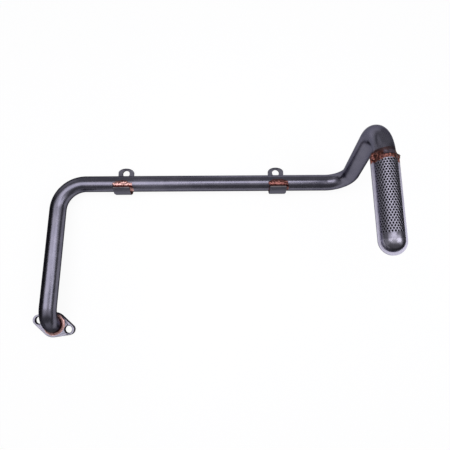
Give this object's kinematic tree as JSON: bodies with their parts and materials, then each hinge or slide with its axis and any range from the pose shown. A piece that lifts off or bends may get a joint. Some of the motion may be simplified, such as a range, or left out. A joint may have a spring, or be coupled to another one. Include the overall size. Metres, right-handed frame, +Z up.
{
  "type": "oil pickup tube",
  "caption": "Bent steel oil suction tube with a bolt flange, strap brackets with bolt ears, and a half-round perforated strainer on a flat back plate.",
  "frame": {"origin": "centre of the bounding box's bottom face, on the plane of the flange's and the ears' mounting faces", "axes": "+X along the long straight towards the strainer, +Y towards the bracket ears, +Z up from the mounting plane"},
  "size_m": [0.4476, 0.2464, 0.1713],
  "materials": {
    "tube_steel": "dark satin drawn tube",
    "strap_steel": "satin pressed strip",
    "bright_steel": "bright satin sheet and plate",
    "braze_copper": "copper filler metal, partly browned by heat"
  },
  "bodies": {
    "root": {"tube": "tube_steel", "flange": "bright_steel", "bracket_left": "strap_steel", "bracket_right": "strap_steel", "strainer_screen": "bright_steel", "strainer_plate": "bright_steel", "braze_flange": "braze_copper", "braze_left": "braze_copper", "braze_right": "braze_copper", "braze_strainer": "braze_copper"}
  },
  "joints": []
}
